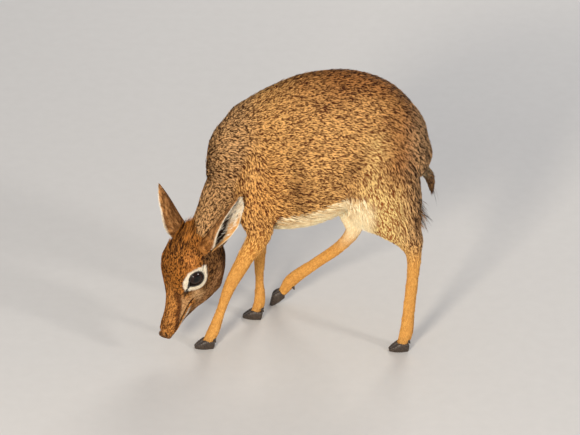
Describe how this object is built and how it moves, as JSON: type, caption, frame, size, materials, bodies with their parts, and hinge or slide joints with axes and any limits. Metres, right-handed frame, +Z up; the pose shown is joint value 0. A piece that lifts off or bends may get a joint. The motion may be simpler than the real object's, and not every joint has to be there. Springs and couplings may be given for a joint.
{
  "type": "dik-dik (still life-size model)",
  "caption": "Life-size still model of a small grazing antelope, head lowered and turned to its left, one hind leg reaching forward.",
  "frame": {"origin": "centre of the footprint, on the floor under the hooves", "axes": "+Z up, the animal faces -X, its left side faces -Y"},
  "size_m": [0.371, 0.1598, 0.4053],
  "materials": {
    "body_coat": "short grizzled fur",
    "face_coat": "short rufous fur, white ring round each eye",
    "ear_coat": "thin fur, white hair inside",
    "leg_coat": "very short plain tan fur",
    "eye": "wet, nearly black brown",
    "horn": "dull dark horn"
  },
  "bodies": {
    "root": {"torso": "body_coat", "neck": "body_coat", "head": "face_coat", "eye_left": "eye", "eye_right": "eye", "ear_left": "ear_coat", "ear_right": "ear_coat", "upper_fore_left": "body_coat", "upper_fore_right": "body_coat", "forearm_fore_left": "leg_coat", "forearm_fore_right": "leg_coat", "thigh_hind_left": "body_coat", "thigh_hind_right": "body_coat", "shank_hind_left": "body_coat", "shank_hind_right": "body_coat", "cannon_fore_left": "leg_coat", "cannon_fore_right": "leg_coat", "cannon_hind_left": "leg_coat", "cannon_hind_right": "leg_coat", "pastern_fore_left": "leg_coat", "pastern_fore_right": "leg_coat", "pastern_hind_left": "leg_coat", "pastern_hind_right": "leg_coat", "hoof_fore_left_left": "horn", "hoof_fore_left_right": "horn", "hoof_fore_right_left": "horn", "hoof_fore_right_right": "horn", "hoof_hind_left_left": "horn", "hoof_hind_left_right": "horn", "hoof_hind_right_left": "horn", "hoof_hind_right_right": "horn", "tail": "body_coat"}
  },
  "joints": []
}
